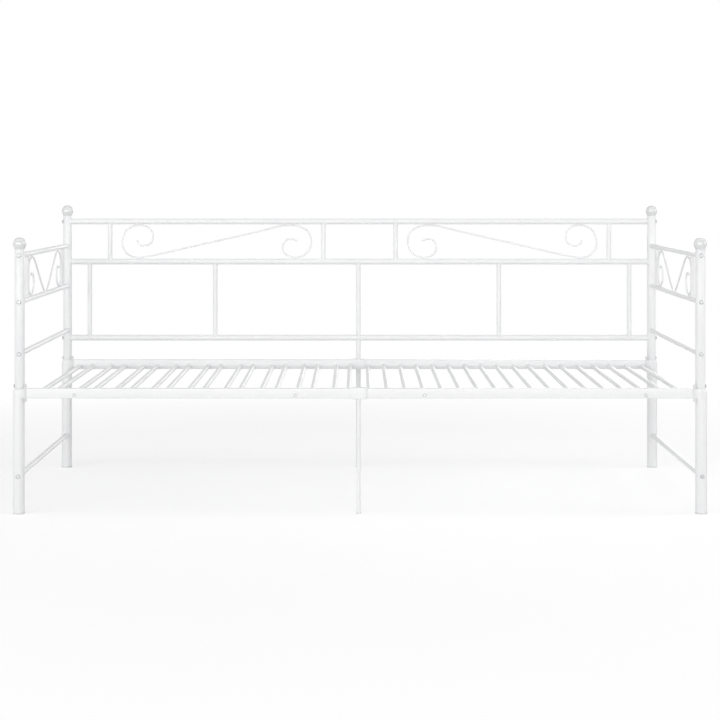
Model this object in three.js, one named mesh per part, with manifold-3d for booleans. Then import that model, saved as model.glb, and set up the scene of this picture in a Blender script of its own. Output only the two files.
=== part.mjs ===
// A steel-tube daybed: two railed ends and a railed back with bent-rod scrolls, round a slatted platform.
// Millimetres. +X runs along the length, +Y to the back, +Z up. The origin is on the floor, under the middle.

import * as THREE from "three";
import { mergeVertices } from "three/addons/utils/BufferGeometryUtils.js";
import Module from "manifold-3d";

const wasm = await Module();
wasm.setup();

// Layout of the corner posts
const postSpacingX = 2044; // between post centres, end to end
const postSpacingY = 930; // between post centres, front to back
const frontPostTop = 794;
const backPostRise = 87; // of the back posts over the front ones

// Fits
const fitGap = 0.3; // between two pieces that touch
const boltHoleRadius = 3.3; // clearance hole of a bolt
const boltBoreRadius = 2.6; // threaded bore in a plugged tube end
const cutOverrun = 2; // how far a cutter passes the face that it opens

// Posts and legs
const postRadius = 15;
const postWall = 1.2;
const spigotDepth = 55; // the post's narrowed end, inside the leg
const legRadius = 17.5;
const legWall = 1.2;
const legTop = 377; // the lip that the post stands on, level with the bed rails
const legNeckHeight = 8; // the leg narrows to the post over this height

// Foot caps
const footHeight = 4.5; // the part that shows under the leg
const footOverhang = 0.4;
const footChamfer = 1;
const footPlugLength = 16;

// Ball finials
const finialRadius = 20.5;
const finialRise = 16; // ball centre above the post top
const finialSkirt = 4; // straight skirt under the ball
const finialPlugLength = 13;

// End panels
const endRailRadius = 8;
const endRailWall = 1;
const endTopRailDrop = 18.5; // below the front post tops
const endPanelHeight = 139.8; // between the top and middle rail
const endLowerRailRise = 103; // above the bed rails
const endStretcherZ = 114;
const railPlugLength = 14; // solid end with the threaded bore
const endUprightRadius = 6.5;
const endUprightWall = 1;
const endUprightSetback = 131; // from the post centre to the upright

// Back panel
const backRailRadius = 10;
const backRailWall = 1.2;
const backTopRailDrop = 20.6; // below the back post tops
const backPanelHeight = 140.4; // between the top and middle rail
const backLowerRailRise = 76.6; // above the bed rails
const spindleRadius = 8;
const spindleWall = 1;
const shortSpindleSetback = 149; // from the post centre to the outer one
const shortSpindleInnerX = 126.5;
const longSpindleSetback = 78;
const longSpindleLeftX = 505; // the inner ones stand unevenly about the middle
const longSpindleRightX = 488;

// Bent-rod scrolls
const scrollRodRadius = 3;
const backScrollInnerGap = 34.5; // from the curl to the inner short spindle
const backScrollOuterGap = 34;

// Bed rails and the saddles at their ends
const bedRailHeight = 30;
const bedRailDepth = 20;
const bedRailWall = 1.2;
const bedRailCorner = 2.5;
const saddleThickness = 5.1;
const saddleOverhang = 12; // above and below the rail
const saddleEdgeDrop = 3.5; // the outer edge is bevelled by this height
const saddleEdgeInset = 2.4; // and by this depth
const saddleReach = 3.1; // the flanges stop this far short of the post's middle
const railNoseLength = 4.6; // tapered end between rail and saddle
const railNoseInset = 4;
const railNoseWall = 7; // solid end of the rail tube
const upperCornerBoltInset = 5.5; // from the saddle's top
const lowerCornerBoltInset = 6; // from its bottom

// Joint in the middle
const middleX = -4; // sleeves, centre legs and centre uprights
const sleeveLength = 45.5;
const sleeveWall = 2.2;
const sleeveSeam = 4.5; // between the sleeve and the right-hand rail
const railSpigotLength = 60;
const railSpigotRoot = 30; // welded length inside its own rail
const railSpigotWall = 2;
const frontCentreLegRadius = 6;
const backCentreLegRadius = 8;
const centreLegWall = 1;
const centreCapHeight = 4;
const centreCapOverhang = 0.6;
const centreCapChamfer = 0.6;
const centreCapPlugLength = 10;

// Slat grids
const slatRadius = 7.5;
const slatWall = 0.9;
const slatDrop = 23; // slat centres below the rail top
const slatBarHeight = 17.5;
const slatBarThickness = 4;
const slatEmbed = 1; // a slat's end is let into its bar
const slatGridEndInset = 30.5; // from the leg centre to the end of the grid
const slatsPerGrid = 18;
const leftPairGap = 46; // between the two slats of a pair
const leftOuterInset = 16; // from the grid's end to its first slat
const leftInnerInset = 6.55;
const rightOuterInset = 10.1;
const rightInnerInset = 9.45;
const gridBoltRise = 2.5; // above the slat centres
const gridBoltOuterInset = 136; // from the grid's outer end
const gridBoltInnerX = 194;

// Facets
const postSides = 16;
const ballSides = 16;
const ballRings = 6;
const railSides = 12;
const backRailSides = 12;
const spindleSides = 12;
const uprightSides = 12;
const rodSides = 6;
const slatSides = 8;
const boreSides = 6;
const holeSides = 6;
const stepsPerPoint = 2; // of a bent rod, between two points of its outline
const fitSamples = 200;

// A back scroll, from the eye of its outer curl to the eye of its inner one:
// shares of its half length, outwards negative, and of its half height, up positive.
const backScrollShares = [
  [-0.842, 0.082],
  [-0.827, -0.126],
  [-0.796, -0.248],
  [-0.761, -0.263],
  [-0.726, -0.203],
  [-0.693, -0.085],
  [-0.677, 0.085],
  [-0.675, 0.29],
  [-0.68, 0.597],
  [-0.718, 0.841],
  [-0.757, 0.967],
  [-0.811, 1],
  [-0.877, 0.959],
  [-0.921, 0.85],
  [-0.954, 0.69],
  [-0.976, 0.509],
  [-0.998, 0.068],
  [-0.998, -0.256],
  [-0.974, -0.566],
  [-0.947, -0.742],
  [-0.908, -0.906],
  [-0.869, -0.974],
  [-0.811, -1],
  [-0.765, -0.954],
  [-0.618, -0.791],
  [-0.415, -0.511],
  [-0.024, 0],
  [0.379, 0.533],
  [0.59, 0.831],
  [0.678, 0.959],
  [0.763, 1],
  [0.84, 0.974],
  [0.918, 0.838],
  [0.973, 0.597],
  [0.997, 0.246],
  [1, -0.085],
  [0.988, -0.427],
  [0.953, -0.697],
  [0.906, -0.889],
  [0.833, -0.995],
  [0.759, -0.896],
  [0.713, -0.684],
  [0.698, -0.369],
  [0.711, -0.062],
  [0.751, 0.137],
  [0.792, 0.157],
  [0.856, 0.038],
];

// An end scroll, from the middle of the rail to the eye of its curl:
// shares of the width from the middle to the upright, and of the height between the rails.
const endScrollShares = [
  [0.083, 0],
  [0.157, 0.087],
  [0.268, 0.266],
  [0.367, 0.445],
  [0.475, 0.632],
  [0.586, 0.828],
  [0.685, 0.96],
  [0.796, 1],
  [0.907, 0.905],
  [0.975, 0.726],
  [1, 0.479],
  [0.981, 0.215],
  [0.916, 0.049],
  [0.827, 0],
  [0.734, 0.078],
  [0.682, 0.266],
  [0.697, 0.47],
  [0.771, 0.572],
  [0.854, 0.504],
];

// Heights worked out from the sizes above
const backPostTop = frontPostTop + backPostRise;
const bedRailTop = legTop;
const bedRailZ = bedRailTop - bedRailHeight / 2;
const saddleBottom = bedRailTop - bedRailHeight - saddleOverhang;
const saddleTop = bedRailTop + saddleOverhang;
const upperCornerBoltZ = saddleTop - upperCornerBoltInset;
const lowerCornerBoltZ = saddleBottom + lowerCornerBoltInset;
const endTopRailZ = frontPostTop - endTopRailDrop;
const endMiddleRailZ = endTopRailZ - endPanelHeight;
const endLowerRailZ = bedRailTop + endLowerRailRise;
const backTopRailZ = backPostTop - backTopRailDrop;
const backMiddleRailZ = backTopRailZ - backPanelHeight;
const backLowerRailZ = bedRailTop + backLowerRailRise;
const slatZ = bedRailTop - slatDrop;
const gridBoltZ = slatZ + gridBoltRise;

// Places worked out from the sizes above
const postX = postSpacingX / 2;
const postY = postSpacingY / 2;
const legX = postX + legRadius - postRadius; // the inner sides are flush
const spigotRadius = postRadius - postWall - fitGap;
const sleeveLeftX = middleX - sleeveLength / 2;
const sleeveRightX = middleX + sleeveLength / 2;
const sleeveHeight = bedRailHeight + (sleeveWall + fitGap) * 2;
const sleeveDepth = bedRailDepth + (sleeveWall + fitGap) * 2;
const sleeveTop = bedRailZ + sleeveHeight / 2;
const sleeveBottom = bedRailZ - sleeveHeight / 2;
const rightRailX = sleeveRightX + sleeveSeam;
const saddleInnerRadius = legRadius + fitGap;
const saddleOuterRadius = saddleInnerRadius + saddleThickness;
const railNoseX = legX - saddleOuterRadius - railNoseLength; // where the full section starts
const shortSpindleOuterX = postX - shortSpindleSetback;
const longSpindleOuterX = postX - longSpindleSetback;
const backScrollLength =
  shortSpindleOuterX - shortSpindleInnerX - spindleRadius * 2 - backScrollInnerGap - backScrollOuterGap;
const backScrollX = shortSpindleInnerX + spindleRadius + backScrollInnerGap + backScrollLength / 2;
const slatGridOuterX = legX - slatGridEndInset;
const leftGridInnerX = sleeveLeftX - fitGap;
const rightGridInnerX = sleeveRightX + fitGap;
const gridBoltOuterX = slatGridOuterX - gridBoltOuterInset;
const slatBarFaceY = postY - bedRailDepth / 2 - fitGap;
const slatEndY = slatBarFaceY - slatBarThickness;
const endUprightY = postY - endUprightSetback;

const left = { name: "left", sign: -1 };
const right = { name: "right", sign: 1 };
const front = { name: "front", sign: -1, postTop: frontPostTop, legRadius: frontCentreLegRadius };
const back = { name: "back", sign: 1, postTop: backPostTop, legRadius: backCentreLegRadius };

// Finishes
const paint = { color: 0xf2f3f4, roughness: 0.38, metalness: 0 };
const glossPlastic = { color: 0xf4f5f5, roughness: 0.14, metalness: 0 };
const footPlastic = { color: 0xe9eaea, roughness: 0.55, metalness: 0 };

const daybed = new THREE.Group();

function closedSolid(geometry) {
  const bare = geometry.clone();
  bare.deleteAttribute("normal");
  bare.deleteAttribute("uv");
  const merged = mergeVertices(bare);
  const corners = merged.index.array;
  const triangles = [];
  for (let i = 0; i < corners.length; i += 3) {
    const [a, b, c] = corners.slice(i, i + 3);
    if (a !== b && b !== c && a !== c) triangles.push(a, b, c);
  }
  const positions = new Float32Array(merged.attributes.position.array);
  return new wasm.Manifold(
    new wasm.Mesh({ numProp: 3, vertProperties: positions, triVerts: new Uint32Array(triangles) }),
  );
}

function cutAll(solid, cutters) {
  return cutters.reduce((rest, cutter) => rest.subtract(cutter), solid);
}

function addPiece(name, solid, finish, x = 0, y = 0, z = 0) {
  const { vertProperties, triVerts } = solid.getMesh();
  const geometry = new THREE.BufferGeometry();
  geometry.setAttribute("position", new THREE.BufferAttribute(vertProperties, 3));
  geometry.setIndex(new THREE.BufferAttribute(triVerts, 1));
  geometry.computeVertexNormals();
  const piece = new THREE.Mesh(geometry, new THREE.MeshStandardMaterial(finish));
  piece.name = name;
  piece.position.set(x, y, z);
  daybed.add(piece);
}

// A turned shape about +Z, from [radius, height] corners.
function turned(corners, sides) {
  const profile = corners.map(([radius, height]) => new THREE.Vector2(radius, height));
  return new THREE.LatheGeometry(profile, sides).rotateX(Math.PI / 2);
}

function closedLoop(corners) {
  return [...corners, corners[0]];
}

function turnTo(geometry, axis) {
  if (axis === "x") geometry.rotateY(Math.PI / 2);
  if (axis === "y") geometry.rotateX(-Math.PI / 2);
  return geometry;
}

// A solid bar between two points that differ along one axis only.
function roundBar(radius, start, end, axis, sides) {
  const from = new THREE.Vector3(...start);
  const to = new THREE.Vector3(...end);
  const length = to.distanceTo(from);
  const upright = new THREE.CylinderGeometry(radius, radius, length, sides).rotateX(Math.PI / 2);
  const middle = from.add(to).divideScalar(2);
  return closedSolid(turnTo(upright, axis).translate(middle.x, middle.y, middle.z));
}

// A tube of the given length along an axis, centred on the origin and open at both ends.
function openTube(radius, wall, length, axis, sides) {
  const corners = [
    [radius - wall, -length / 2],
    [radius, -length / 2],
    [radius, length / 2],
    [radius - wall, length / 2],
  ];
  return closedSolid(turnTo(turned(closedLoop(corners), sides), axis));
}

// The same with plugged ends, each with a threaded bore; plugs start at the seats of the tube.
function pluggedTube(radius, wall, length, seat, axis, sides) {
  const end = length / 2;
  const plug = end - seat - railPlugLength;
  const corners = [
    [boltBoreRadius, -end],
    [radius, -end],
    [radius, end],
    [boltBoreRadius, end],
    [boltBoreRadius, plug],
    [radius - wall, plug],
    [radius - wall, -plug],
    [boltBoreRadius, -plug],
  ];
  return closedSolid(turnTo(turned(closedLoop(corners), sides), axis));
}

// A rectangle with cut corners, whose height lies along Z once the section is run along X.
function boxSection(height, depth, corner) {
  const h = height / 2;
  const d = depth / 2;
  const shape = new THREE.Shape();
  shape.moveTo(-h + corner, -d);
  shape.lineTo(h - corner, -d);
  shape.lineTo(h, -d + corner);
  shape.lineTo(h, d - corner);
  shape.lineTo(h - corner, d);
  shape.lineTo(-h + corner, d);
  shape.lineTo(-h, d - corner);
  shape.lineTo(-h, -d + corner);
  shape.closePath();
  return shape;
}

function boxBetween(low, high) {
  const size = high.map((value, i) => value - low[i]);
  const centre = high.map((value, i) => (value + low[i]) / 2);
  return closedSolid(new THREE.BoxGeometry(...size).translate(...centre));
}

function runAlongX(section, fromX, toX) {
  const geometry = new THREE.ExtrudeGeometry(section, { depth: toX - fromX, bevelEnabled: false });
  return closedSolid(geometry.rotateY(Math.PI / 2).translate(fromX, 0, 0));
}

// Hole cutters
function holeAlongX(fromX, toX, y, z) {
  return roundBar(boltHoleRadius, [fromX, y, z], [toX, y, z], "x", holeSides);
}

function holeAlongY(x, fromY, toY, z) {
  return roundBar(boltHoleRadius, [x, fromY, z], [x, toY, z], "y", holeSides);
}

// A smooth curve stepped by its points instead of its length, so that tight curls get more steps.
class CurlCurve extends THREE.CatmullRomCurve3 {
  getUtoTmapping(share) {
    return share;
  }
}

// Stretches an outline so that the furthest points of its smooth curve reach its ends exactly.
function fittedShares(shares, lowest) {
  const rough = new CurlCurve(shares.map(([across, up]) => new THREE.Vector3(across, up, 0)));
  const box = new THREE.Box3().setFromPoints(rough.getPoints(fitSamples));
  const reach = Math.max(box.max.x, -box.min.x);
  const unitHeight = box.max.y - box.min.y;
  const scale = (1 - lowest) / unitHeight;
  return shares.map(([across, up]) => [across / reach, lowest + (up - box.min.y) * scale]);
}

function bentRod(points) {
  const section = new THREE.Shape().absarc(0, 0, scrollRodRadius, 0, Math.PI * 2);
  const extrudePath = new CurlCurve(points);
  const steps = (points.length - 1) * stepsPerPoint;
  return closedSolid(new THREE.ExtrudeGeometry(section, { steps, curveSegments: rodSides / 2, extrudePath }));
}

// Corner posts and legs
function postBlank(top) {
  const shoulder = legTop + fitGap;
  const boreRadius = postRadius - postWall;
  const corners = [
    [spigotRadius - postWall, legTop - spigotDepth],
    [spigotRadius, legTop - spigotDepth],
    [spigotRadius, shoulder],
    [postRadius, shoulder],
    [postRadius, top],
    [boreRadius, top],
    [boreRadius, shoulder + postWall],
    [spigotRadius - postWall, shoulder + postWall],
  ];
  return closedSolid(turned(closedLoop(corners), postSides));
}

function addPost(end, side) {
  const acrossX = postRadius + cutOverrun;
  const holes = [endTopRailZ, endMiddleRailZ, endLowerRailZ].map((z) => holeAlongY(0, -acrossX, acrossX, z));
  const sideways = [upperCornerBoltZ, lowerCornerBoltZ];
  if (side === back) sideways.push(backTopRailZ, backLowerRailZ);
  holes.push(...sideways.map((z) => holeAlongX(-acrossX, acrossX, 0, z)));
  const name = `post_${side.name}_${end.name}`;
  addPiece(name, cutAll(postBlank(side.postTop), holes), paint, end.sign * postX, side.sign * postY);
}

// The neck leans inwards, so that the leg's inner side stays flush with the post's.
function legBlank(end) {
  const neckZ = legTop - legNeckHeight;
  const corners = [
    [legRadius - legWall, footHeight + fitGap],
    [legRadius, footHeight + fitGap],
    [legRadius, neckZ],
    [postRadius, legTop],
    [postRadius - postWall, legTop],
    [legRadius - legWall, neckZ],
  ];
  const geometry = turned(closedLoop(corners), postSides);
  const places = geometry.attributes.position;
  for (let i = 0; i < places.count; i += 1) {
    const lean = Math.max(0, (places.getZ(i) - neckZ) / legNeckHeight);
    places.setX(i, places.getX(i) - end.sign * (legX - postX) * lean);
  }
  return closedSolid(geometry);
}

function addLeg(end, side) {
  const across = legRadius + cutOverrun;
  const stretcherHole = holeAlongY(0, -across, across, endStretcherZ);
  const saddleHole = holeAlongX(-across, across, 0, lowerCornerBoltZ);
  const solid = cutAll(legBlank(end), [stretcherHole, saddleHole]);
  addPiece(`leg_${side.name}_${end.name}`, solid, paint, end.sign * legX, side.sign * postY);
}

// Caps: a flange under the tube and a plug inside it
function capSolid(tubeRadius, wall, height, overhang, chamfer, plugLength) {
  const flange = tubeRadius + overhang;
  const plug = tubeRadius - wall - fitGap;
  const corners = [
    [0, 0],
    [flange - chamfer, 0],
    [flange, chamfer],
    [flange, height],
    [plug, height],
    [plug, height + plugLength],
    [0, height + plugLength],
  ];
  return closedSolid(turned(corners, postSides));
}

function addFootCap(end, side) {
  const cap = capSolid(legRadius, legWall, footHeight, footOverhang, footChamfer, footPlugLength);
  addPiece(`foot_cap_${side.name}_${end.name}`, cap, footPlastic, end.sign * legX, side.sign * postY);
}

// The ball sits on a short skirt, with a plug in the post.
function finialSolid() {
  const plug = postRadius - postWall - fitGap;
  const skirtRadius = Math.sqrt(finialRadius ** 2 - (finialRise - finialSkirt) ** 2);
  const corners = [
    [0, -finialPlugLength],
    [plug, -finialPlugLength],
    [plug, fitGap],
    [skirtRadius, fitGap],
  ];
  const lowest = -Math.acos(skirtRadius / finialRadius);
  for (let ring = 0; ring <= ballRings; ring += 1) {
    const angle = lowest + ((Math.PI / 2 - lowest) * ring) / ballRings;
    const radius = ring === ballRings ? 0 : finialRadius * Math.cos(angle);
    corners.push([radius, finialRise + finialRadius * Math.sin(angle)]);
  }
  return closedSolid(turned(corners, ballSides));
}

function addFinial(end, side) {
  const name = `finial_${side.name}_${end.name}`;
  addPiece(name, finialSolid(), glossPlastic, end.sign * postX, side.sign * postY, side.postTop);
}

// End panels
function endRail(radius) {
  const tube = pluggedTube(endRailRadius, endRailWall, postSpacingY, radius + fitGap, "y", railSides);
  const cutters = [front, back].map((side) => {
    const y = side.sign * postY;
    const foot = [0, y, -endRailRadius - cutOverrun];
    const head = [0, y, endRailRadius + cutOverrun];
    return roundBar(radius + fitGap, foot, head, "z", postSides);
  });
  return cutAll(tube, cutters);
}

function addEndRails(end) {
  const x = end.sign * postX;
  addPiece(`end_top_rail_${end.name}`, endRail(postRadius), paint, x, 0, endTopRailZ);
  addPiece(`end_middle_rail_${end.name}`, endRail(postRadius), paint, x, 0, endMiddleRailZ);
  addPiece(`end_lower_rail_${end.name}`, endRail(postRadius), paint, x, 0, endLowerRailZ);
  addPiece(`end_stretcher_${end.name}`, endRail(legRadius), paint, end.sign * legX, 0, endStretcherZ);
}

function addEndUpright(end, side) {
  const reach = endUprightRadius + cutOverrun;
  const rise = endTopRailZ - endMiddleRailZ;
  const cutters = [-rise / 2, rise / 2].map((z) =>
    roundBar(endRailRadius + fitGap, [0, -reach, z], [0, reach, z], "y", railSides),
  );
  const tube = openTube(endUprightRadius, endUprightWall, rise, "z", uprightSides);
  const middleZ = (endTopRailZ + endMiddleRailZ) / 2;
  const name = `end_upright_${end.name}_${side.name}`;
  addPiece(name, cutAll(tube, cutters), paint, end.sign * postX, side.sign * endUprightY, middleZ);
}

function addEndScroll(end, side) {
  const contact = scrollRodRadius + fitGap;
  const width = endUprightY - endUprightRadius - contact;
  const lowZ = endMiddleRailZ + endRailRadius + contact;
  const highZ = endTopRailZ - endRailRadius - contact;
  const points = fittedShares(endScrollShares, 0).map(
    ([across, up]) => new THREE.Vector3(0, side.sign * across * width, up * (highZ - lowZ)),
  );
  const name = `end_scroll_${end.name}_${side.name}`;
  addPiece(name, bentRod(points), paint, end.sign * postX, 0, lowZ);
}

// Back panel
function addBackRail(name, z, bolted) {
  const seat = postRadius + fitGap;
  const cutters = [left, right].map((end) => {
    const x = end.sign * postX;
    const foot = [x, 0, -backRailRadius - cutOverrun];
    const head = [x, 0, backRailRadius + cutOverrun];
    return roundBar(seat, foot, head, "z", postSides);
  });
  const tube = bolted
    ? pluggedTube(backRailRadius, backRailWall, postSpacingX, seat, "x", backRailSides)
    : openTube(backRailRadius, backRailWall, postSpacingX, "x", backRailSides);
  addPiece(name, cutAll(tube, cutters), paint, 0, postY, z);
}

function addSpindle(name, x, lowZ, highZ) {
  const reach = spindleRadius + cutOverrun;
  const rise = highZ - lowZ;
  const cutters = [-rise / 2, rise / 2].map((z) =>
    roundBar(backRailRadius + fitGap, [-reach, 0, z], [reach, 0, z], "x", backRailSides),
  );
  const tube = openTube(spindleRadius, spindleWall, rise, "z", spindleSides);
  addPiece(name, cutAll(tube, cutters), paint, x, postY, (lowZ + highZ) / 2);
}

// The lowest length of the centre upright stands on the sleeve.
function addLowerCentreUpright() {
  const reach = spindleRadius + cutOverrun;
  const footZ = sleeveTop + fitGap;
  const rise = backLowerRailZ - footZ;
  const headZ = rise / 2;
  const cutter = roundBar(backRailRadius + fitGap, [-reach, 0, headZ], [reach, 0, headZ], "x", backRailSides);
  const tube = openTube(spindleRadius, spindleWall, rise, "z", spindleSides).subtract(cutter);
  addPiece("back_centre_upright_lower", tube, paint, middleX, postY, (footZ + backLowerRailZ) / 2);
}

function addBackScroll(end) {
  const contact = scrollRodRadius + fitGap;
  const halfHeight = (backTopRailZ - backMiddleRailZ) / 2 - backRailRadius - contact;
  const points = fittedShares(backScrollShares, -1).map(
    ([across, up]) => new THREE.Vector3((-end.sign * across * backScrollLength) / 2, 0, up * halfHeight),
  );
  const middleZ = (backTopRailZ + backMiddleRailZ) / 2;
  addPiece(`back_scroll_${end.name}`, bentRod(points), paint, end.sign * backScrollX, postY, middleZ);
}

// Bed rails, in a frame with the post to the right and the middle of the bed at the left
function saddleSolid() {
  const edgeRadius = saddleOuterRadius - saddleEdgeInset;
  const corners = [
    [saddleInnerRadius, saddleBottom],
    [edgeRadius, saddleBottom],
    [saddleOuterRadius, saddleBottom + saddleEdgeDrop],
    [saddleOuterRadius, saddleTop - saddleEdgeDrop],
    [edgeRadius, saddleTop],
    [saddleInnerRadius, saddleTop],
  ];
  const ring = closedSolid(turned(closedLoop(corners), postSides)).translate(legX, 0, 0);
  const reach = saddleOuterRadius + cutOverrun;
  const low = [legX - reach, -reach, saddleBottom - cutOverrun];
  const high = [legX - saddleReach, reach, saddleTop + cutOverrun];
  return ring.intersect(boxBetween(low, high));
}

// The tapered end that is welded to the saddle
function noseSolid() {
  const d = bedRailDepth / 2;
  const tip = d - railNoseInset;
  const weldX = legX - (saddleInnerRadius + saddleOuterRadius) / 2;
  const shape = new THREE.Shape();
  shape.moveTo(railNoseX - railNoseWall, -d);
  shape.lineTo(railNoseX, -d);
  shape.lineTo(railNoseX + railNoseLength, -tip);
  shape.lineTo(weldX, -tip);
  shape.lineTo(weldX, tip);
  shape.lineTo(railNoseX + railNoseLength, tip);
  shape.lineTo(railNoseX, d);
  shape.lineTo(railNoseX - railNoseWall, d);
  shape.closePath();
  const height = bedRailHeight - bedRailCorner * 2;
  const geometry = new THREE.ExtrudeGeometry(shape, { depth: height, bevelEnabled: false });
  return closedSolid(geometry.translate(0, 0, bedRailZ - height / 2));
}

function bedRailBlank(fromX) {
  const outer = boxSection(bedRailHeight, bedRailDepth, bedRailCorner);
  const tube = runAlongX(outer, fromX, railNoseX).translate(0, 0, bedRailZ);
  const twoWalls = bedRailWall * 2;
  const bore = boxSection(bedRailHeight - twoWalls, bedRailDepth - twoWalls, bedRailCorner - bedRailWall);
  const hollow = runAlongX(bore, fromX - cutOverrun, railNoseX - railNoseWall).translate(0, 0, bedRailZ);
  const cornerHoles = [upperCornerBoltZ, lowerCornerBoltZ].map((z) => holeAlongX(railNoseX, legX, 0, z));
  const across = bedRailDepth / 2 + cutOverrun;
  const gridHoles = [gridBoltOuterX, gridBoltInnerX].map((x) => holeAlongY(x, -across, across, gridBoltZ));
  return cutAll(tube.subtract(hollow).add(noseSolid()).add(saddleSolid()), [...cornerHoles, ...gridHoles]);
}

// The right-hand rails carry a spigot that slides into the left-hand ones.
function railSpigot() {
  const height = bedRailHeight - bedRailWall * 2;
  const depth = bedRailDepth - bedRailWall * 2;
  const fit = fitGap * 2;
  const inset = railSpigotWall * 2;
  const corner = bedRailCorner - bedRailWall;
  const outX = rightRailX - railSpigotLength;
  const rootX = rightRailX + railSpigotRoot;
  const sliding = runAlongX(boxSection(height - fit, depth - fit, corner), outX, rootX);
  const root = runAlongX(boxSection(height + bedRailWall, depth + bedRailWall, corner), rightRailX, rootX);
  const bore = boxSection(height - fit - inset, depth - fit - inset, corner);
  const hollow = runAlongX(bore, outX - cutOverrun, rootX + cutOverrun);
  return sliding.add(root).subtract(hollow).translate(0, 0, bedRailZ);
}

function addBedRail(end, side) {
  const solid =
    end === right
      ? bedRailBlank(rightRailX).add(railSpigot())
      : bedRailBlank(fitGap - sleeveRightX).mirror([1, 0, 0]);
  addPiece(`bed_rail_${side.name}_${end.name}`, solid, paint, 0, side.sign * postY);
}

// Joint in the middle
function addSleeve(side) {
  const section = boxSection(sleeveHeight, sleeveDepth, bedRailCorner);
  const fit = fitGap * 2;
  section.holes.push(boxSection(bedRailHeight + fit, bedRailDepth + fit, bedRailCorner - fitGap));
  const solid = runAlongX(section, sleeveLeftX, sleeveRightX);
  addPiece(`centre_sleeve_${side.name}`, solid, paint, 0, side.sign * postY, bedRailZ);
}

function addCentreLeg(side) {
  const footZ = centreCapHeight + fitGap;
  const headZ = sleeveBottom - fitGap;
  const tube = openTube(side.legRadius, centreLegWall, headZ - footZ, "z", spindleSides);
  addPiece(`centre_leg_${side.name}`, tube, paint, middleX, side.sign * postY, (footZ + headZ) / 2);
  const cap = capSolid(
    side.legRadius,
    centreLegWall,
    centreCapHeight,
    centreCapOverhang,
    centreCapChamfer,
    centreCapPlugLength,
  );
  addPiece(`centre_leg_cap_${side.name}`, cap, footPlastic, middleX, side.sign * postY);
}

// Slat grids: round slats let into two flat bars, with their bores open through the bars
function facetUpBar(radius, reach, sides) {
  const geometry = new THREE.CylinderGeometry(radius, radius, reach * 2, sides);
  return closedSolid(geometry.rotateY(Math.PI / slatSides));
}

function slatGrid(slatPlaces, fromX, toX, boltPlaces) {
  const backBar = boxBetween([fromX, slatEndY, -slatBarHeight / 2], [toX, slatBarFaceY, slatBarHeight / 2]);
  let grid = backBar.add(backBar.mirror([0, 1, 0]));
  const boreReach = slatBarFaceY + cutOverrun;
  const slat = facetUpBar(slatRadius, slatEndY + slatEmbed, slatSides);
  const bore = facetUpBar(slatRadius - slatWall, boreReach, boreSides);
  slatPlaces.forEach((x) => {
    grid = grid.add(slat.translate(x, 0, 0));
  });
  slatPlaces.forEach((x) => {
    grid = grid.subtract(bore.translate(x, 0, 0));
  });
  return cutAll(
    grid,
    boltPlaces.map((x) => holeAlongY(x, -boreReach, boreReach, gridBoltZ - slatZ)),
  );
}

function addSlatGrids() {
  const counts = [...Array(slatsPerGrid).keys()];
  const firstLeftX = leftOuterInset - slatGridOuterX;
  const lastLeftX = leftGridInnerX - leftInnerInset;
  const pairPitch = (lastLeftX - leftPairGap - firstLeftX) / (slatsPerGrid / 2 - 1);
  const pairedPlaces = counts.map((i) => {
    const pair = Math.floor(i / 2);
    return firstLeftX + pair * pairPitch + (i - pair * 2) * leftPairGap;
  });
  const firstRightX = rightGridInnerX + rightInnerInset;
  const lastRightX = slatGridOuterX - rightOuterInset;
  const evenPitch = (lastRightX - firstRightX) / (slatsPerGrid - 1);
  const evenPlaces = counts.map((i) => firstRightX + i * evenPitch);
  const leftBolts = [-gridBoltOuterX, -gridBoltInnerX];
  const rightBolts = [gridBoltOuterX, gridBoltInnerX];
  const leftGrid = slatGrid(pairedPlaces, -slatGridOuterX, leftGridInnerX, leftBolts);
  const rightGrid = slatGrid(evenPlaces, rightGridInnerX, slatGridOuterX, rightBolts);
  addPiece("slat_grid_left", leftGrid, paint, 0, 0, slatZ);
  addPiece("slat_grid_right", rightGrid, paint, 0, 0, slatZ);
}

for (const end of [left, right]) {
  addEndRails(end);
  for (const side of [front, back]) {
    addPost(end, side);
    addLeg(end, side);
    addFootCap(end, side);
    addFinial(end, side);
    addEndUpright(end, side);
    addEndScroll(end, side);
    addBedRail(end, side);
  }
  addBackScroll(end);
}

addBackRail("back_top_rail", backTopRailZ, true);
addBackRail("back_middle_rail", backMiddleRailZ, false);
addBackRail("back_lower_rail", backLowerRailZ, true);
[-shortSpindleOuterX, -shortSpindleInnerX, shortSpindleInnerX, shortSpindleOuterX].forEach((x, i) => {
  addSpindle(`back_short_spindle_${i + 1}`, x, backMiddleRailZ, backTopRailZ);
});
[-longSpindleOuterX, -longSpindleLeftX, longSpindleRightX, longSpindleOuterX].forEach((x, i) => {
  addSpindle(`back_long_spindle_${i + 1}`, x, backLowerRailZ, backMiddleRailZ);
});
addSpindle("back_centre_upright_upper", middleX, backLowerRailZ, backMiddleRailZ);
addLowerCentreUpright();

for (const side of [front, back]) {
  addSleeve(side);
  addCentreLeg(side);
}

addSlatGrids();

export default daybed;
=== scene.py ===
# A white steel-tube daybed: its fine shapes and finishes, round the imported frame. Metres.
# +X runs along the length, +Y to the railed back, +Z up. The origin is on the floor, under the middle.

import math
from contextlib import contextmanager

import bpy
from mathutils import Matrix, Vector


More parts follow.
